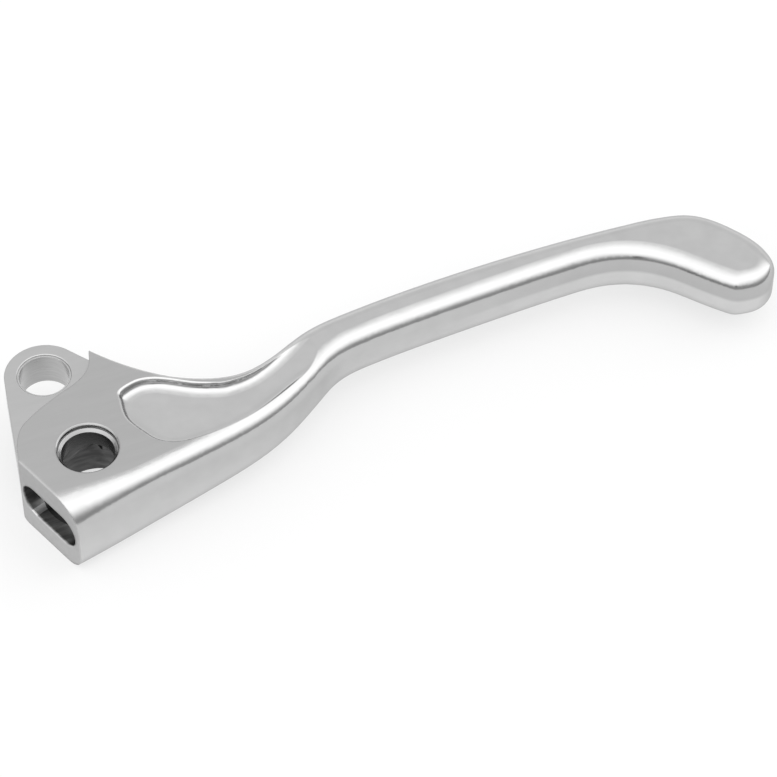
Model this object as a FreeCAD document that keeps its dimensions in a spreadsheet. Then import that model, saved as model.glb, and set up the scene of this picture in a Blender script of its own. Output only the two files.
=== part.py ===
import FreeCAD, Part

import math
import os

import Sketcher
from FreeCAD import Placement, Rotation, Vector

# Clutch lever: a polished aluminium lever with a pivot tab, a cable anchor bore, a cable slot
# and a curved finger paddle, plus the two thin bushes pressed into its bores.
#
# Frame, in millimetres: the origin is on the pivot axis at the middle of the tab's thickness,
# +Z runs along the pivot bore, +X runs from the pivot along the blade towards the paddle and
# -Y points away from the handlebar, towards the rider's fingers.

DIMENSIONS = {
    # heights above and below the middle of the tab
    "head_top": 7.8,
    "end_drop": 11.8,
    "blade_top": 5.8,
    "blade_drop": 6.8,
    "tab_thickness": 8.5,
    # pivot
    "tab_radius": 8.6,
    "pivot_seat_radius": 5.85,
    "pivot_bore_radius": 5.45,
    "pivot_bush_recess": 0.3,
    "pivot_edge_break": 0.12,
    # cable anchor
    "anchor_offset": 25.5,
    "anchor_seat_radius": 6.45,
    "anchor_bore_radius": 5.7,
    "anchor_bush_recess": 1.2,
    "anchor_bush_lip": 0.6,
    "anchor_edge_break": 0.35,
    "anchor_lower_radius": 8.9,
    "anchor_lower_shift": 0.9,
    "anchor_lower_offset": 25.05,
    # cable slot
    "slot_height": 8.6,
    "slot_width": 17.8,
    "slot_depth": 21.0,
    "slot_middle": -2.15,
    "slot_from_corner": 9.28,
    # scallop in the top of the neck
    "scallop_depth": 2.15,
    # edge radii
    "head_round": 7.6,
    "neck_round": 4.1,
    "blade_round": 3.9,
    "under_round": 4.8,
    "back_round": 1.0,
    "crisp_round": 0.3,
}

document = FreeCAD.newDocument("ClutchLever")
sheet = document.addObject("Spreadsheet::Sheet", "Sizes")
for row_number, (alias, value) in enumerate(DIMENSIONS.items(), start=1):
    sheet.set(f"A{row_number}", alias)
    sheet.set(f"B{row_number}", str(value))
    sheet.setAlias(f"B{row_number}", alias)
document.recompute()


def size(alias):
    """The value of one cell of the sheet."""
    return float(sheet.get(alias))


# angles in degrees
QUARTER_TURN = 90.0
FULL_TURN = 360.0
# a gap too small to matter, and distances well outside the lever
CLOSE = 0.01
CLEAR = 40.0
CLEAR_X = 200.0

# the flat end face in the plan: its corner on the tab side, its heading and its width
END_CORNER = Vector(-14.6, -22.6, 0)
END_ANGLE = -73.1
END_WIDTH = 19.6
# stations along X: where the head's rounding starts and ends, and where the blade's begins
HEAD_START = -8.9
HEAD_END = 21.0
BLADE_START = 60.0
# stations along X of the back edge: where it leaves the tab, and where its rounding starts to grow
TAB_END = 7.3
NECK_MIDDLE = 42.0


def heading(angle):
    """Unit vector in the plan at an angle in degrees from +X."""
    return Vector(math.cos(math.radians(angle)), math.sin(math.radians(angle)), 0)


def smooth(points, start_angle, end_angle):
    """Spline through plan points with given headings at its two ends."""
    spline = Part.BSplineCurve()
    vectors = [Vector(x, y, 0) for x, y in points]
    spline.interpolate(Points=vectors, InitialTangent=heading(start_angle),
                       FinalTangent=heading(end_angle))
    return spline


def origin_plane(body, role):
    """One of a body's own origin planes."""
    return next(item for item in body.Origin.OriginFeatures if item.Role == role)


def sketch_on(body, name, role, offset=Placement()):
    """An empty sketch on an origin plane of the body."""
    sketch = body.newObject("Sketcher::SketchObject", name)
    sketch.AttachmentSupport = [(origin_plane(body, role), "")]
    sketch.MapMode = "FlatFace"
    sketch.AttachmentOffset = offset
    return sketch


def add_loop(sketch, curves):
    """Adds a closed run of curves to a sketch."""
    for curve in curves:
        sketch.addGeometry(curve, False)


# plan outline in runs of points; neighbouring runs share their end point and heading
FRONT_START = END_CORNER + heading(END_ANGLE) * END_WIDTH
FRONT_HEAD = [(FRONT_START.x, FRONT_START.y), (0.5, -39.9), (10, -38.4), (21, -36.9)]
FRONT_NECK = [(21, -36.9), (34.5, -34.6), (44.5, -31.0), (54.5, -25.0), (66, -20.9)]
FRONT_BLADE = [(66, -20.9), (86, -20.4), (116, -20.8)]
TIP_CENTRE = Vector(151.9, -35.7, 0)
TIP_RADIUS = 6.95
TIP_FIRST_ANGLE = -98.0
TIP_LAST_ANGLE = 0.0
TIP_START = TIP_CENTRE + heading(TIP_FIRST_ANGLE) * TIP_RADIUS
TIP_MIDDLE = TIP_CENTRE + heading((TIP_FIRST_ANGLE + TIP_LAST_ANGLE) / 2) * TIP_RADIUS
TIP_END = TIP_CENTRE + heading(TIP_LAST_ANGLE) * TIP_RADIUS
FRONT_PADDLE = [(116, -20.8), (126, -22.0), (131.5, -24.4), (136.3, -28.3), (141, -34.4),
                (145.6, -40.3), (TIP_START.x, TIP_START.y)]
BACK_PADDLE = [(TIP_END.x, TIP_END.y), (157.6, -29.5), (155.5, -25.3), (147.1, -16.4),
               (141.7, -14.75), (131.6, -13.2)]
BACK_BLADE = [(131.6, -13.2), (105, -10.9), (86, -10.3), (66.3, -10.7)]
BACK_NECK = [(66.3, -10.7), (56.2, -12.2), (45.8, -17.2), (36.3, -19.6), (25.1, -15.3), (20.1, -11.4)]
BACK_ANGLE = 138.0
TAB_ANGLE = 32.0


def plan_outline():
    """The lever seen from above, as separate curves that meet tangentially along both long sides."""
    radius = size("tab_radius")
    tab_start = heading(TAB_ANGLE) * radius
    corner_angle = math.degrees(math.atan2(END_CORNER.y, END_CORNER.x))
    tangent_angle = corner_angle - math.degrees(math.acos(radius / END_CORNER.Length))
    tab_end = heading(tangent_angle) * radius
    tab_middle = heading((TAB_ANGLE + tangent_angle + FULL_TURN) / 2) * radius
    back_corner = BACK_NECK[-1]
    return [
        Part.LineSegment(END_CORNER, FRONT_START),
        smooth(FRONT_HEAD, 8.5, 8.0),
        smooth(FRONT_NECK, 8.0, 4.0),
        smooth(FRONT_BLADE, 4.0, -2.0),
        smooth(FRONT_PADDLE, -2.0, TIP_FIRST_ANGLE + QUARTER_TURN),
        Part.Arc(TIP_START, TIP_MIDDLE, TIP_END),
        smooth(BACK_PADDLE, TIP_LAST_ANGLE + QUARTER_TURN, 173.0),
        smooth(BACK_BLADE, 173.0, 183.0),
        smooth(BACK_NECK, 183.0, BACK_ANGLE),
        smooth([back_corner, (15, -6.2), (tab_start.x, tab_start.y)], BACK_ANGLE, TAB_ANGLE + QUARTER_TURN),
        Part.Arc(tab_start, tab_middle, tab_end),
        Part.LineSegment(tab_end, END_CORNER),
    ]


def side_sketch(body, name, curves):
    """A closed loop in the X-Z plane; the curves are given with their heights as Y."""
    sketch = sketch_on(body, name, "XZ_Plane")
    add_loop(sketch, curves)
    return sketch


def polyline(points):
    """Straight segments through plan points."""
    vectors = [Vector(x, y, 0) for x, y in points]
    return [Part.LineSegment(first, second) for first, second in zip(vectors, vectors[1:])]


# side profile: heights along X where the top runs down and the underside runs up
TOP_RUN_START = 28.0
TOP_RUN_MIDDLE = (45, 7.0)
UNDER_RUN_START = -20.0
UNDER_RUN_MIDDLE = [(-8, -11.7), (10, -10.5), (30, -8.0)]
UNDER_RUN_END = 58.0


def blank_body():
    """Plan outline padded to full height, with the top run down and the underside run up."""
    body = document.addObject("PartDesign::Body", "LeverBlank")
    plan = sketch_on(body, "PlanOutline", "XY_Plane")
    plan.setExpression(".AttachmentOffset.Base.z", "-Sizes.end_drop")
    add_loop(plan, plan_outline())
    pad = body.newObject("PartDesign::Pad", "FullHeight")
    pad.Profile = plan
    pad.setExpression("Length", "Sizes.head_top + Sizes.end_drop")
    document.recompute()

    head_top = size("head_top")
    blade_top = size("blade_top")
    run_down = smooth([(TOP_RUN_START, head_top), TOP_RUN_MIDDLE, (BLADE_START, blade_top)], 0, 0)
    top = side_sketch(body, "TopRunDown", [run_down] + polyline(
        [(BLADE_START, blade_top), (CLEAR_X, blade_top), (CLEAR_X, CLEAR), (TOP_RUN_START, CLEAR),
         (TOP_RUN_START, head_top)]))
    cut_both_ways(body, "AboveBlade", top)

    end_drop = size("end_drop")
    blade_drop = size("blade_drop")
    run_up = smooth([(UNDER_RUN_START, -end_drop)] + UNDER_RUN_MIDDLE + [(UNDER_RUN_END, -blade_drop)],
                    0, 0)
    under = side_sketch(body, "UnderRunUp", [run_up] + polyline(
        [(UNDER_RUN_END, -blade_drop), (CLEAR_X, -blade_drop), (CLEAR_X, -CLEAR),
         (UNDER_RUN_START, -CLEAR), (UNDER_RUN_START, -end_drop)]))
    cut_both_ways(body, "BelowBlade", under)
    return body


def cut_both_ways(body, name, sketch):
    """A pocket through everything on both sides of its sketch."""
    pocket = body.newObject("PartDesign::Pocket", name)
    pocket.Profile = sketch
    pocket.Type = "ThroughAll"
    pocket.SideType = "Symmetric"
    pocket.Midplane = True
    document.recompute()


def between(x, stops):
    """Straight interpolation along X through (x, value) stops."""
    if x <= stops[0][0]:
        return stops[0][1]
    for (x_low, low), (x_high, high) in zip(stops, stops[1:]):
        if x <= x_high:
            return low + (high - low) * (x - x_low) / (x_high - x_low)
    return stops[-1][1]


# a line down the middle of the lever in the plan
MIDDLE_LINE = [(HEAD_END, -30.0), (BLADE_START, -16.0), (116, -16.5), (158, -34.0)]


def is_back(point):
    """True for plan points on the handlebar side of the middle line."""
    return point.y > between(point.x, MIDDLE_LINE)


def is_outline_edge(edge):
    """True for the long edges around the top and the underside, except across the end face."""
    first = edge.firstVertex().Point
    last = edge.lastVertex().Point
    middle = edge.valueAt((edge.FirstParameter + edge.LastParameter) / 2)
    upright = math.hypot(first.x - last.x, first.y - last.y) < CLOSE
    across = abs(middle.z - (first.z + last.z) / 2) < CLOSE and abs(first.x - last.x) < CLOSE
    end_face = abs((middle - END_CORNER).dot(heading(END_ANGLE + QUARTER_TURN))) < CLOSE
    seam = abs(middle.y) < CLOSE
    return not (upright or across or end_face or seam)


def rounded(blank):
    """The long edges rounded; the radius shrinks from the end face to the blade."""
    blade = (BLADE_START, size("blade_round"))
    back = size("back_round")
    front_top = [(HEAD_START, size("head_round")), (HEAD_END, size("neck_round")), blade]
    back_top = [(TAB_END, size("crisp_round")), (HEAD_END, back), (NECK_MIDDLE, back), blade]
    front_under = [(HEAD_START, size("under_round")), blade]
    back_under = [(TAB_END, back), blade]
    fillets = []
    for number, edge in enumerate(blank.Shape.Edges, 1):
        if not is_outline_edge(edge):
            continue
        middle = edge.valueAt((edge.FirstParameter + edge.LastParameter) / 2)
        back = is_back(middle)
        if middle.z > 0:
            stops = back_top if back else front_top
        else:
            stops = back_under if back else front_under
        along = sorted([edge.firstVertex().Point.x, edge.lastVertex().Point.x], reverse=back)
        fillets.append((number, between(along[0], stops), between(along[1], stops)))
    fillet = document.addObject("Part::Fillet", "RoundedBlank")
    fillet.Base = blank
    fillet.Edges = fillets
    document.recompute()
    return fillet


def cut_away(body, name, sketch, upward=False, depth=None):
    """A pocket from a sketch, downward unless told otherwise, through everything without a depth."""
    pocket = body.newObject("PartDesign::Pocket", name)
    pocket.Profile = sketch
    pocket.Reversed = upward
    if depth is None:
        pocket.Type = "ThroughAll"
    else:
        pocket.Type = "Length"
        pocket.setExpression("Length", depth)
    document.recompute()


def level_sketch(body, name, height, turn=Placement()):
    """A sketch over the plan at a height given as an expression, level unless turned."""
    sketch = sketch_on(body, name, "XY_Plane", turn)
    sketch.setExpression(".AttachmentOffset.Base.z", height)
    return sketch


def circle_sketch(body, name, height, centre_y, radius, centre_x="0 mm"):
    """A level sketch with one circle; its height, centre and radius are expressions."""
    sketch = level_sketch(body, name, height)
    circle = sketch.addGeometry(Part.Circle(Vector(1, -1, 0), Vector(0, 0, 1), 1), False)
    along = sketch.addConstraint(Sketcher.Constraint("DistanceX", -1, 1, circle, 3, 1))
    drop = sketch.addConstraint(Sketcher.Constraint("DistanceY", -1, 1, circle, 3, 0))
    size_of = sketch.addConstraint(Sketcher.Constraint("Radius", circle, 1))
    sketch.setExpression(f"Constraints[{along}]", centre_x)
    sketch.setExpression(f"Constraints[{drop}]", centre_y)
    sketch.setExpression(f"Constraints[{size_of}]", radius)
    return sketch


# the edge of the steps around the tab, then a closed way round outside the lever
STEP_CURVE = [(14.5, 3.0), (10.4, -0.6), (9.4, -3.2), (7, -6.3), (0, -9.3), (-8.5, -13.0),
              (-12, -16.2), (-13.95, -20.2), (-15.2, -24.0)]
STEP_OUTSIDE = [STEP_CURVE[-1], (-CLEAR, -24.0), (-CLEAR, CLEAR), (CLEAR, CLEAR), STEP_CURVE[0]]
STEP_HEADINGS = (-139.0, -107.0)


def cut_steps(body):
    """The two steps that thin the pivot end down to the tab."""
    for name, height, upward in [("StepAbove", "Sizes.tab_thickness / 2", True),
                                 ("StepBelow", "-Sizes.tab_thickness / 2", False)]:
        sketch = level_sketch(body, name + "Outline", height)
        add_loop(sketch, [smooth(STEP_CURVE, *STEP_HEADINGS)] + polyline(STEP_OUTSIDE))
        cut_away(body, name, sketch, upward)


# scallop floor outline in runs: points, first heading, last heading
SCALLOP_RUNS = [
    ([(16, -15.4), (20.6, -16.8), (26.6, -20.9), (30.6, -22.8), (34.6, -23.7)], 10.0, -2.0),
    ([(34.6, -23.7), (38.6, -23.6), (42.7, -22.6), (46.7, -21), (50.7, -18.9), (58, -14.5)], -2.0, 30.0),
    ([(58, -21), (48, -24.2), (40.6, -27.2), (35.5, -28.9), (30.5, -29.8), (21.5, -29.9)], 197.0, 177.0),
    ([(21.5, -29.9), (18.5, -29.3), (16, -27.4), (14.5, -24.4), (13.2, -20.5), (13.6, -17.2), (16, -15.4)],
     177.0, 10.0),
]
# cross-section of the scallop wall: distance out from the floor outline, height above the floor
SCALLOP_WALL = [(0, 0), (0.7, 0.04), (1.4, 0.2), (1.95, 0.58), (2.28, 1.15), (2.48, 1.75),
                (2.85, 2.04), (3.5, 2.16), (4.5, 2.25)]
# the floor rises towards the blade by this many degrees
SCALLOP_TILT = 0.3


def grown(points, start_angle, end_angle, reach):
    """The run of points moved to its left by a distance."""
    sides = [heading(start_angle + QUARTER_TURN)]
    for before, after in zip(points, points[2:]):
        sides.append(Vector(before[1] - after[1], after[0] - before[0], 0).normalize())
    sides.append(heading(end_angle + QUARTER_TURN))
    return [(x + side.x * reach, y + side.y * reach) for (x, y), side in zip(points, sides)]


def scallop_loop(reach):
    """The scallop outline moved outward by a distance, closed by a straight end over the blade."""
    runs = []
    for points, start_angle, end_angle in SCALLOP_RUNS:
        moved = grown(points, start_angle, end_angle, reach)
        runs.append(smooth(moved, start_angle, end_angle))
    closing = Part.LineSegment(runs[1].EndPoint, runs[2].StartPoint)
    return runs[:2] + [closing] + runs[2:]


def cut_scallop(body):
    """The shallow hollow in the top of the head that runs out onto the blade."""
    tilt = Placement(Vector(), Rotation(Vector(0, 1, 0), -SCALLOP_TILT))
    sections = []
    for number, (reach, rise) in enumerate(SCALLOP_WALL):
        height = f"Sizes.head_top - Sizes.scallop_depth + {rise}"
        sketch = level_sketch(body, f"ScallopSection{number}", height, tilt)
        add_loop(sketch, scallop_loop(reach))
        sections.append(sketch)
    loft = body.newObject("PartDesign::SubtractiveLoft", "Scallop")
    loft.Profile = sections[0]
    loft.Sections = sections[1:]
    document.recompute()


def cut_slot(body):
    """The round-ended cable slot let into the end face."""
    middle = END_CORNER + heading(END_ANGLE) * size("slot_from_corner")
    place = Placement(Vector(middle.x, 0, -middle.y), Rotation(Vector(0, 1, 0), END_ANGLE))
    sketch = sketch_on(body, "SlotOutline", "XZ_Plane", place)
    sketch.setExpression(".AttachmentOffset.Base.y", "Sizes.slot_middle")
    radius = size("slot_height") / 2
    reach = size("slot_width") / 2 - radius
    add_loop(sketch, [
        Part.LineSegment(Vector(-reach, -radius, 0), Vector(reach, -radius, 0)),
        Part.Arc(Vector(reach, -radius, 0), Vector(reach + radius, 0, 0), Vector(reach, radius, 0)),
        Part.LineSegment(Vector(reach, radius, 0), Vector(-reach, radius, 0)),
        Part.Arc(Vector(-reach, radius, 0), Vector(-reach - radius, 0, 0), Vector(-reach, -radius, 0)),
    ])
    cut_away(body, "CableSlot", sketch, False, "Sizes.slot_depth")


def lever_body(blank):
    """The one-piece lever: rounded blank, steps, bores, cable slot and scallop."""
    body = document.addObject("PartDesign::Body", "lever_body")
    body.BaseFeature = blank
    document.recompute()
    cut_steps(body)
    cut_slot(body)
    pivot = circle_sketch(body, "PivotSeatCircle", "Sizes.head_top", "0 mm", "Sizes.pivot_seat_radius")
    cut_away(body, "PivotSeat", pivot)
    upper = circle_sketch(body, "AnchorSeatCircle", "Sizes.head_top", "-Sizes.anchor_offset",
                          "Sizes.anchor_seat_radius")
    cut_away(body, "AnchorSeat", upper, False, "Sizes.head_top - Sizes.slot_middle")
    lower = circle_sketch(body, "AnchorLowerCircle", "Sizes.slot_middle", "-Sizes.anchor_lower_offset",
                          "Sizes.anchor_lower_radius", "Sizes.anchor_lower_shift")
    cut_away(body, "AnchorLower", lower)
    cut_scallop(body)
    return body


def bush(name, centre_y, radii, heights):
    """A plain sleeve; radii and heights are pairs of expressions."""
    body = document.addObject("PartDesign::Body", name)
    outer = circle_sketch(body, name + "_outside", heights[0], centre_y, radii[1])
    pad = body.newObject("PartDesign::Pad", name + "_sleeve")
    pad.Profile = outer
    pad.setExpression("Length", f"({heights[1]}) - ({heights[0]})")
    document.recompute()
    inner = circle_sketch(body, name + "_inside", heights[1], centre_y, radii[0])
    cut_away(body, name + "_bore", inner)
    return body


def edge_name(shape, radius, height, centre_y):
    """Name of the full circular edge with this radius at this place."""
    for number, edge in enumerate(shape.Edges, 1):
        curve = edge.Curve
        if not isinstance(curve, Part.Circle) or abs(curve.Radius - radius) > CLOSE:
            continue
        if (curve.Center - Vector(0, centre_y, height)).Length < CLOSE:
            return f"Edge{number}"
    raise ValueError("no such rim")


def bevel(body, name, rims, expression):
    """A chamfer along circular rims given as (radius, height, centre_y)."""
    before = body.Tip
    chamfer = body.newObject("PartDesign::Chamfer", name)
    chamfer.Base = (before, [edge_name(before.Shape, *rim) for rim in rims])
    chamfer.setExpression("Size", expression)
    document.recompute()


lever = lever_body(rounded(blank_body()))
half_tab = size("tab_thickness") / 2
anchor_y = -size("anchor_offset")
pivot_seat = size("pivot_seat_radius")
bevel(lever, "PivotEdgeBreak", [(pivot_seat, half_tab, 0), (pivot_seat, -half_tab, 0)],
      "Sizes.pivot_edge_break")
bevel(lever, "AnchorEdgeBreak", [(size("anchor_seat_radius"), size("head_top"), anchor_y)],
      "Sizes.anchor_edge_break")

pivot_bush = bush("pivot_bush", "0 mm",
                  ("Sizes.pivot_bore_radius", "Sizes.pivot_seat_radius"),
                  ("Sizes.pivot_bush_recess - Sizes.tab_thickness / 2",
                   "Sizes.tab_thickness / 2 - Sizes.pivot_bush_recess"))
anchor_bush = bush("anchor_bush", "-Sizes.anchor_offset",
                   ("Sizes.anchor_bore_radius", "Sizes.anchor_seat_radius"),
                   ("Sizes.slot_middle + Sizes.slot_height / 2",
                    "Sizes.head_top - Sizes.anchor_bush_recess"))
lip_height = size("head_top") - size("anchor_bush_recess")
bevel(anchor_bush, "AnchorBushLip", [(size("anchor_bore_radius"), lip_height, anchor_y)],
      "Sizes.anchor_bush_lip")

bad = [thing.Name for thing in document.Objects if {"Invalid", "Error"} & set(thing.State)]
if bad:
    raise RuntimeError(f"not built: {bad}")

os.makedirs("parts", exist_ok=True)
for body in (lever, pivot_bush, anchor_bush):
    if body.Shape.isNull() or not body.Shape.isValid():
        raise RuntimeError(f"{body.Label} is not a valid solid")
    body.Shape.exportStep(f"parts/{body.Label}.step")
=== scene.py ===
"""Polished clutch lever on a plain pale floor in soft studio light."""

import math

import bpy
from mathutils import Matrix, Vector


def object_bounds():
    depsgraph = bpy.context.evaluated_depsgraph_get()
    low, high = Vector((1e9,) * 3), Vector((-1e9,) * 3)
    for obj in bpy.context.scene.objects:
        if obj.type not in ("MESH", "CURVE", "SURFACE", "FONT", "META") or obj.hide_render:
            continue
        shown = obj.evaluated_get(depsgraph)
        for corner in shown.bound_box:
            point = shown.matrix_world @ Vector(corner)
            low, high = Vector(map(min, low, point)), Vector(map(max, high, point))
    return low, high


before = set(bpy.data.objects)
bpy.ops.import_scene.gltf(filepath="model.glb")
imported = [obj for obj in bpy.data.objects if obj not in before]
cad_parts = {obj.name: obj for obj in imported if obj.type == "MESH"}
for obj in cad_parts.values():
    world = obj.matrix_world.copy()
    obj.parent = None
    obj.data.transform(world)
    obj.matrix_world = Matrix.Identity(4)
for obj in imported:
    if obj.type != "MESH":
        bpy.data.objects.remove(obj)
cad_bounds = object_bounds()

MM = 0.001

# ---------------------------------------------------------------- camera
CAMERA_PLACE = Vector((-0.1472, -0.4869, 0.5932))
CAMERA_TARGET = Vector((0.0642, -0.0377, 0.0078))
CAMERA_LENS = 166.8
CAMERA_SENSOR = 36.0
CAMERA_NEAR = 0.01


def add_camera():
    """The camera at the photograph's viewing angle."""
    data = bpy.data.cameras.new("camera")
    data.lens = CAMERA_LENS
    data.sensor_width = CAMERA_SENSOR
    data.clip_start = CAMERA_NEAR
    camera = bpy.data.objects.new("camera", data)
    bpy.context.scene.collection.objects.link(camera)
    camera.location = CAMERA_PLACE
    camera.rotation_euler = (CAMERA_TARGET - CAMERA_PLACE).to_track_quat("-Z", "Y").to_euler()
    bpy.context.scene.camera = camera


# ---------------------------------------------------------------- node trees
class Tree:
    """Short calls for building a node tree."""

    def __init__(self, node_tree):
        self.nodes = node_tree.nodes
        self.links = node_tree.links

    def put(self, value, socket):
        """Links a socket or sets a plain value."""
        if isinstance(value, bpy.types.NodeSocket):
            self.links.new(value, socket)
        else:
            socket.default_value = value

    def coordinates(self, kind):
        """Texture coordinates of one kind."""
        return self.nodes.new("ShaderNodeTexCoord").outputs[kind]

    def part(self, vector, axis):
        """One component of a vector."""
        split = self.nodes.new("ShaderNodeSeparateXYZ")
        self.put(vector, split.inputs["Vector"])
        return split.outputs[axis]

    def along(self, vector, direction):
        """How far a vector reaches along a direction."""
        node = self.nodes.new("ShaderNodeVectorMath")
        node.operation = "DOT_PRODUCT"
        self.put(vector, node.inputs[0])
        self.put(direction, node.inputs[1])
        return node.outputs["Value"]

    def compute(self, operation, first, second=0.0):
        """One arithmetic step."""
        node = self.nodes.new("ShaderNodeMath")
        node.operation = operation
        self.put(first, node.inputs[0])
        self.put(second, node.inputs[1])
        return node.outputs["Value"]

    def product(self, first, *others):
        """Several numbers multiplied together."""
        result = first
        for other in others:
            result = self.compute("MULTIPLY", result, other)
        return result

    def span(self, value, from_low, from_high, to_low=0.0, to_high=1.0):
        """A value carried from one range to another and held at its ends."""
        node = self.nodes.new("ShaderNodeMapRange")
        self.put(value, node.inputs["Value"])
        self.put(from_low, node.inputs["From Min"])
        self.put(from_high, node.inputs["From Max"])
        self.put(to_low, node.inputs["To Min"])
        self.put(to_high, node.inputs["To Max"])
        return node.outputs["Result"]

    def within(self, value, low, high, soft):
        """One inside a range and nothing outside it, with soft ends."""
        middle = (low + high) / 2
        half = (high - low) / 2
        away = self.compute("ABSOLUTE", self.compute("SUBTRACT", value, middle))
        return self.span(away, half + soft, half)

    def blend(self, share, first, second):
        """A number between two numbers."""
        node = self.nodes.new("ShaderNodeMix")
        self.put(share, node.inputs["Factor"])
        self.put(first, node.inputs["A"])
        self.put(second, node.inputs["B"])
        return node.outputs["Result"]


# ---------------------------------------------------------------- studio
# level directions: from the lever to the camera, and to the left of the camera's view
FRONT = Vector((CAMERA_PLACE.x - CAMERA_TARGET.x, CAMERA_PLACE.y - CAMERA_TARGET.y, 0.0)).normalized()
LEFT = Vector((FRONT.y, -FRONT.x, 0.0))

# brightness of the surround by angle: 0 is the front horizon, 90 overhead, 180 the back horizon
HALF_TURN = 180.0
SURROUND = [(0, 0.46), (8, 0.40), (18, 0.48), (30, 1.25), (42, 1.78), (66, 1.85), (84, 1.65),
            (98, 1.48), (110, 1.25), (120, 1.03), (131, 0.84), (150, 0.84), (164, 1.0), (180, 1.2)]
SURROUND_PEAK = 2.2
# how far the softbox wraps round to the right
WRAP_RIGHT = 0.7
# the left side fades over this range of leftward reach, down to this share
LEFT_FADE = (0.45, 0.85)
LEFT_SHARE = 0.75

# small dark things standing in the studio: azimuth, elevation and half-width in degrees
DARK_SPOTS = [(-121, 20, 6.0), (-166, 6, 5.0)]
SPOT_SHARE = 0.25
SPOT_OUTSIDE = 1.4
SPOT_INSIDE = 0.8

FLOOR_SIZE = 6.0
FLOOR_COLOUR = (0.30, 0.30, 0.30, 1.0)
FLOOR_GLOW = (1.0, 1.0, 1.0, 1.0)
FLOOR_GLOW_STRENGTH = 0.62


def heading(azimuth, elevation):
    """Unit vector toward a place in the studio."""
    turn = math.radians(azimuth)
    rise = math.radians(elevation)
    return Vector((math.cos(rise) * math.cos(turn), math.cos(rise) * math.sin(turn), math.sin(rise)))


def surround_tone(tree, direction, sideways):
    """Grey of the surround by its angle over the lever."""
    wrap = tree.compute("MULTIPLY", tree.compute("MINIMUM", sideways, 0.0), -WRAP_RIGHT)
    forward = tree.compute("ADD", wrap, tree.along(direction, FRONT))
    angle = tree.compute("ARCTAN2", tree.part(direction, "Z"), forward)
    ramp = tree.nodes.new("ShaderNodeValToRGB")
    ramp.color_ramp.interpolation = "B_SPLINE"
    tree.put(tree.compute("DIVIDE", angle, math.pi), ramp.inputs["Fac"])
    elements = ramp.color_ramp.elements
    while len(elements) < len(SURROUND):
        elements.new(1.0)
    for element, (degrees, brightness) in zip(elements, SURROUND):
        grey = brightness / SURROUND_PEAK
        element.position = degrees / HALF_TURN
        element.color = (grey, grey, grey, 1.0)
    return ramp.outputs["Color"]


def surround_strength(tree, direction, sideways):
    """Strength of the surround: dimmer on the left and at the dark spots."""
    strength = tree.span(sideways, *LEFT_FADE, SURROUND_PEAK, SURROUND_PEAK * LEFT_SHARE)
    for azimuth, elevation, half_width in DARK_SPOTS:
        outside = math.cos(math.radians(half_width * SPOT_OUTSIDE))
        inside = math.cos(math.radians(half_width * SPOT_INSIDE))
        toward = tree.along(direction, heading(azimuth, elevation))
        strength = tree.product(strength, tree.span(toward, outside, inside, 1.0, SPOT_SHARE))
    return strength


def add_world():
    """A softbox overhead and in front, a grey ceiling behind it and a pale backdrop."""
    world = bpy.data.worlds.new("studio")
    bpy.context.scene.world = world
    world.use_nodes = True
    tree = Tree(world.node_tree)
    direction = tree.coordinates("Generated")
    sideways = tree.along(direction, LEFT)
    background = tree.nodes["Background"]
    tree.put(surround_tone(tree, direction, sideways), background.inputs["Color"])
    tree.put(surround_strength(tree, direction, sideways), background.inputs["Strength"])


def add_floor(height):
    """A plain pale floor that glows a little, so that it stays white under the lever."""
    bpy.ops.mesh.primitive_plane_add(size=FLOOR_SIZE, location=(0, 0, height))
    floor = bpy.context.object
    floor.name = "floor"
    material = bpy.data.materials.new("floor")
    material.use_nodes = True
    shader = material.node_tree.nodes["Principled BSDF"]
    shader.inputs["Base Color"].default_value = FLOOR_COLOUR
    shader.inputs["Roughness"].default_value = 1.0
    shader.inputs["Specular IOR Level"].default_value = 0.0
    shader.inputs["Emission Color"].default_value = FLOOR_GLOW
    shader.inputs["Emission Strength"].default_value = FLOOR_GLOW_STRENGTH
    floor.data.materials.append(material)


# ---------------------------------------------------------------- metal
# the middle of a noise's range, carried to a material's own range
NOISE_RANGE = (0.3, 0.7)
NARROW_NOISE_RANGE = (0.35, 0.65)
RELIEF_DEPTH = 0.002 * MM
EDGE_SAMPLES = 8


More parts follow.
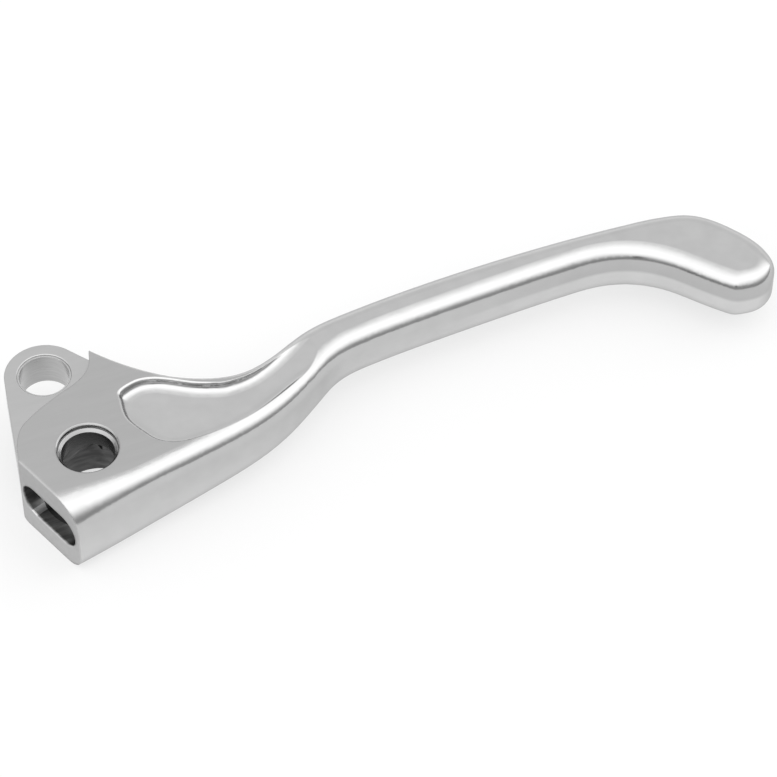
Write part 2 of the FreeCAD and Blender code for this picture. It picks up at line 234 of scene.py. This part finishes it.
class Metal(Tree):
    """A metal material, with places on the object and the slope of its surface at hand."""

    def __init__(self, name):
        self.material = bpy.data.materials.new(name)
        self.material.use_nodes = True
        super().__init__(self.material.node_tree)
        self.shader = self.nodes["Principled BSDF"]
        self.shader.inputs["Metallic"].default_value = 1.0
        self.place = self.coordinates("Object")
        geometry = self.nodes.new("ShaderNodeNewGeometry")
        self.normal_z = self.part(geometry.outputs["Normal"], "Z")

    def turned(self, place, degrees=0.0, stretch=(1.0, 1.0, 1.0)):
        """Coordinates moved to a place, turned about Z and stretched."""
        node = self.nodes.new("ShaderNodeMapping")
        node.vector_type = "TEXTURE"
        node.inputs["Location"].default_value = place
        node.inputs["Rotation"].default_value = (0, 0, math.radians(degrees))
        node.inputs["Scale"].default_value = stretch
        self.put(self.place, node.inputs["Vector"])
        return node.outputs["Vector"]

    def noise(self, vector, scale, detail):
        """Soft random variation from 0 to 1."""
        node = self.nodes.new("ShaderNodeTexNoise")
        node.inputs["Scale"].default_value = scale
        node.inputs["Detail"].default_value = detail
        self.put(vector, node.inputs["Vector"])
        return node.outputs["Fac"]

    def colour(self, level):
        """Sets a neutral colour from a number."""
        node = self.nodes.new("ShaderNodeCombineColor")
        for channel in ("Red", "Green", "Blue"):
            self.put(level, node.inputs[channel])
        self.put(node.outputs["Color"], self.shader.inputs["Base Color"])

    def roughness(self, level):
        """Sets the roughness."""
        self.put(level, self.shader.inputs["Roughness"])

    def surface(self, height, edge_radius):
        """Fine relief over edges that are softened for the light."""
        edge = self.nodes.new("ShaderNodeBevel")
        edge.samples = EDGE_SAMPLES
        self.put(edge_radius, edge.inputs["Radius"])
        relief = self.nodes.new("ShaderNodeBump")
        relief.inputs["Distance"].default_value = RELIEF_DEPTH
        self.put(height, relief.inputs["Height"])
        self.put(edge.outputs["Normal"], relief.inputs["Normal"])
        self.put(relief.outputs["Normal"], self.shader.inputs["Normal"])


# ---------------------------------------------------------------- lever
# upward share of the normal: where a face counts as flat, as a side and as facing down
FLAT_SLOPE = (0.97, 0.999)
SIDE_SLOPE = (0.65, 0.5)
NOT_UNDER_SLOPE = (-0.7, -0.5)

# height of the machined top faces: low, high and soft edge
HEAD_TOP = (7.5 * MM, 8.5 * MM, 0.2 * MM)
TAB_TOP = (4.1 * MM, 4.4 * MM, 0.05 * MM)

# the cable slot, in coordinates at its mouth with X into the head: low, high and soft edge
SLOT_MOUTH = (-11.90 * MM, -31.48 * MM, -2.15 * MM)
SLOT_HEADING = 16.9
SLOT_INTERIOR = {
    "X": (0.3 * MM, 23.0 * MM, 0.3 * MM),
    "Y": (-8.9 * MM, 8.9 * MM, 0.1 * MM),
    "Z": (-4.3 * MM, 4.3 * MM, 0.1 * MM),
}
# painted highlight: a band across the cable slot, lighter than its painted shade, stands for light on a
# step inside it
SLOT_HIGHLIGHT_BAND = (4.6 * MM, 6.2 * MM, 0.15 * MM)
END_FACE = (-0.5 * MM, 0.05 * MM, 0.15 * MM)
NEAR_END = (-2.0 * MM, 1.5 * MM, 0.5 * MM)

# the cable anchor bore: its interior by distance from its axis and by height, and its rim
ANCHOR_PLACE = (0.0, -25.5 * MM, 0.0)
ANCHOR_INTERIOR_REACH = (10.5 * MM, 10.4 * MM)
ANCHOR_INTERIOR_HEIGHT = (6.75 * MM, 6.6 * MM)
ANCHOR_RIM = (6.3 * MM, 6.9 * MM, 0.1 * MM)

# tones of the metal from the darkest to the brightest of their fine variation
POLISHED_TONE = (0.565, 0.595)
HEAD_TOP_TONE = (0.455, 0.475)
TAB_TOP_TONE = (0.515, 0.535)
END_FACE_TONE = (0.50, 0.54)
# painted shade: the inside of the cable slot is darkened, with streaks, to stand for its shade
SLOT_SHADE_TONE = (0.16, 0.40)
# painted highlight in the cable slot
SLOT_HIGHLIGHT_TONE = 0.75
# painted shade: the inside of the cable anchor bore is nearly black to stand for its shade
ANCHOR_SHADE_TONE = (0.07, 0.14)
# painted shade: a darker grey line round the rim and seat wall of the anchor bore
ANCHOR_RIM_SHADE_TONE = 0.40
SPECULAR_TINT = (0.7, 0.7, 0.7, 1.0)

# roughness of the metal
POLISHED_ROUGHNESS = (0.15, 0.19)
MACHINED_ROUGHNESS = 0.30
INTERIOR_ROUGHNESS = 0.35

# painted shade and light: the side of the head darkens toward its top and lightens toward its bottom; a
# painted reflection darkens the upper half of the paddle's side and lightens its lower half
HEAD_SIDE_HEIGHT = (3.0 * MM, -6.0 * MM)
HEAD_SIDE_PAINTED_SHADE = (0.91, 1.06)
PADDLE_MIDDLE = (-0.5 * MM, 0.4 * MM)
PADDLE_SIDE_PAINTED_REFLECTION = (1.08, 0.82)
PADDLE_START = (85 * MM, 125 * MM)
PADDLE_END = (156 * MM, 152 * MM)

# grain: scale and detail of the noises
STREAK_TURN = -4.0
STREAK_STRETCH = (8.0, 1.0, 1.0)
STREAK_NOISE = (700.0, 3.0)
MOTTLE_NOISE = (260.0, 4.0)
FINE_NOISE = (1500.0, 2.0)
STREAK_RELIEF = 0.5
EDGE_RADIUS = 0.3 * MM
END_EDGE_RADIUS = 1.0 * MM


def slot_interior(metal, slot):
    """The inside of the cable slot, where shade is painted into the colour."""
    sides = [metal.within(metal.part(slot, axis), *SLOT_INTERIOR[axis]) for axis in SLOT_INTERIOR]
    return metal.product(*sides)


def anchor_reach(metal):
    """Distance from the axis of the cable anchor bore."""
    anchor = metal.turned(ANCHOR_PLACE)
    squares = [metal.compute("POWER", metal.part(anchor, axis), 2.0) for axis in ("X", "Y")]
    return metal.compute("SQRT", metal.compute("ADD", *squares))


def anchor_interior(metal, reach, height):
    """The inside of the cable anchor bore below its bush, without the underside round it, where shade is
    painted into the colour.
    """
    near = metal.span(reach, *ANCHOR_INTERIOR_REACH)
    below_bush = metal.span(height, *ANCHOR_INTERIOR_HEIGHT)
    not_under = metal.span(metal.normal_z, *NOT_UNDER_SLOPE)
    return metal.product(near, below_bush, not_under)


def painted_side_shade(metal, height):
    """Painted shade and reflection: share of its brightness that each place on the side keeps."""
    along = metal.part(metal.place, "X")
    paddle = metal.product(metal.span(along, *PADDLE_START), metal.span(along, *PADDLE_END))
    head_side_shade = metal.span(height, *HEAD_SIDE_HEIGHT, *HEAD_SIDE_PAINTED_SHADE)
    paddle_side_reflection = metal.span(height, *PADDLE_MIDDLE, *PADDLE_SIDE_PAINTED_REFLECTION)
    upright = metal.span(metal.normal_z, *SIDE_SLOPE)
    return metal.blend(upright, 1.0, metal.blend(paddle, head_side_shade, paddle_side_reflection))


def lever_material():
    """Polished aluminium with duller machined faces, painted shade in the cable slot and anchor bore, a
    painted highlight band in the slot, and painted shade and reflection on the sides.
    """
    metal = Metal("polished_aluminium")
    metal.shader.inputs["Specular Tint"].default_value = SPECULAR_TINT
    streaks = metal.noise(metal.turned((0, 0, 0), STREAK_TURN, STREAK_STRETCH), *STREAK_NOISE)
    mottle = metal.noise(metal.place, *MOTTLE_NOISE)

    height = metal.part(metal.place, "Z")
    facing_up = metal.span(metal.normal_z, *FLAT_SLOPE)
    head_top = metal.product(metal.within(height, *HEAD_TOP), facing_up)
    tab_top = metal.product(metal.within(height, *TAB_TOP), facing_up)
    slot = metal.turned(SLOT_MOUTH, SLOT_HEADING)
    slot_x = metal.part(slot, "X")
    end_face = metal.within(slot_x, *END_FACE)
    slot_highlight = metal.within(metal.part(slot, "Y"), *SLOT_HIGHLIGHT_BAND)
    inside_slot = slot_interior(metal, slot)
    reach = anchor_reach(metal)
    inside_anchor = anchor_interior(metal, reach, height)

    tone = metal.span(mottle, *NOISE_RANGE, *POLISHED_TONE)
    for face, face_tone in ((head_top, HEAD_TOP_TONE), (tab_top, TAB_TOP_TONE), (end_face, END_FACE_TONE)):
        tone = metal.blend(face, tone, metal.span(streaks, *NOISE_RANGE, *face_tone))
    # painted shade and reflection on the sides
    tone = metal.product(tone, painted_side_shade(metal, height))
    # painted shade round the rim of the anchor bore
    tone = metal.blend(metal.within(reach, *ANCHOR_RIM), tone, ANCHOR_RIM_SHADE_TONE)
    # painted shade inside the cable slot
    slot_shade_tone = metal.span(streaks, *NARROW_NOISE_RANGE, *SLOT_SHADE_TONE)
    # painted highlight band inside the cable slot
    tone = metal.blend(inside_slot, tone, metal.blend(slot_highlight, slot_shade_tone, SLOT_HIGHLIGHT_TONE))
    # painted shade inside the cable anchor bore
    tone = metal.blend(inside_anchor, tone, metal.span(streaks, *NARROW_NOISE_RANGE, *ANCHOR_SHADE_TONE))
    metal.colour(tone)

    roughness = metal.span(mottle, *NOISE_RANGE, *POLISHED_ROUGHNESS)
    machined = metal.compute("MAXIMUM", metal.compute("ADD", head_top, tab_top), end_face)
    roughness = metal.blend(machined, roughness, MACHINED_ROUGHNESS)
    inside = metal.compute("MAXIMUM", inside_slot, inside_anchor)
    metal.roughness(metal.blend(inside, roughness, INTERIOR_ROUGHNESS))

    fine = metal.noise(metal.place, *FINE_NOISE)
    relief = metal.compute("ADD", fine, metal.product(streaks, STREAK_RELIEF))
    near_end = metal.within(slot_x, *NEAR_END)
    metal.surface(relief, metal.blend(near_end, EDGE_RADIUS, END_EDGE_RADIUS))
    return metal.material


# ---------------------------------------------------------------- bushes
RING_STRETCH = (20.0, 20.0, 1.0)
RING_NOISE = (3000.0, 2.0)
RING_TONES = 0.08
RING_ROUGHNESS = 0.15
LIP_SLOPE = (0.1, 0.5)
BUSH_EDGE_RADIUS = 0.1 * MM

# the wall shares below are painted shade on the bore walls of the bushes
PIVOT_BUSH_TONE = 0.55
PIVOT_BUSH_ROUGHNESS = 0.24
PIVOT_BUSH_WALL_SHADE = 0.9
ANCHOR_BUSH_TONE = 0.44
ANCHOR_BUSH_ROUGHNESS = 0.28
ANCHOR_BUSH_WALL_SHADE = 0.2


def bush_material(name, tone, roughness, wall_shade):
    """Turned steel with fine rings round the bore; painted shade keeps the bore wall at a share of the
    brightness of the flat ends.
    """
    metal = Metal(name)
    rings = metal.noise(metal.turned((0, 0, 0), stretch=RING_STRETCH), *RING_NOISE)
    # painted shade: the upright bore wall is darkened to a share of the flat ends' brightness
    bore_wall_shade = metal.span(metal.compute("ABSOLUTE", metal.normal_z), *LIP_SLOPE, wall_shade, 1.0)
    ring_tone = metal.span(rings, *NOISE_RANGE, tone * (1 - RING_TONES), tone * (1 + RING_TONES))
    metal.colour(metal.product(ring_tone, bore_wall_shade))
    metal.roughness(metal.span(rings, *NOISE_RANGE,
                               roughness * (1 - RING_ROUGHNESS), roughness * (1 + RING_ROUGHNESS)))
    metal.surface(rings, BUSH_EDGE_RADIUS)
    return metal.material


def dress(node, material):
    """Puts one material on every slot of a CAD node."""
    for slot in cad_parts[node].material_slots:
        slot.material = material


# ---------------------------------------------------------------- scene
dress("lever_body", lever_material())
dress("pivot_bush", bush_material("pivot_bush_steel", PIVOT_BUSH_TONE, PIVOT_BUSH_ROUGHNESS,
                                  PIVOT_BUSH_WALL_SHADE))
dress("anchor_bush", bush_material("anchor_bush_steel", ANCHOR_BUSH_TONE, ANCHOR_BUSH_ROUGHNESS,
                                   ANCHOR_BUSH_WALL_SHADE))

add_camera()
add_world()
add_floor(cad_bounds[0][2])
bpy.context.scene.view_settings.view_transform = "Standard"
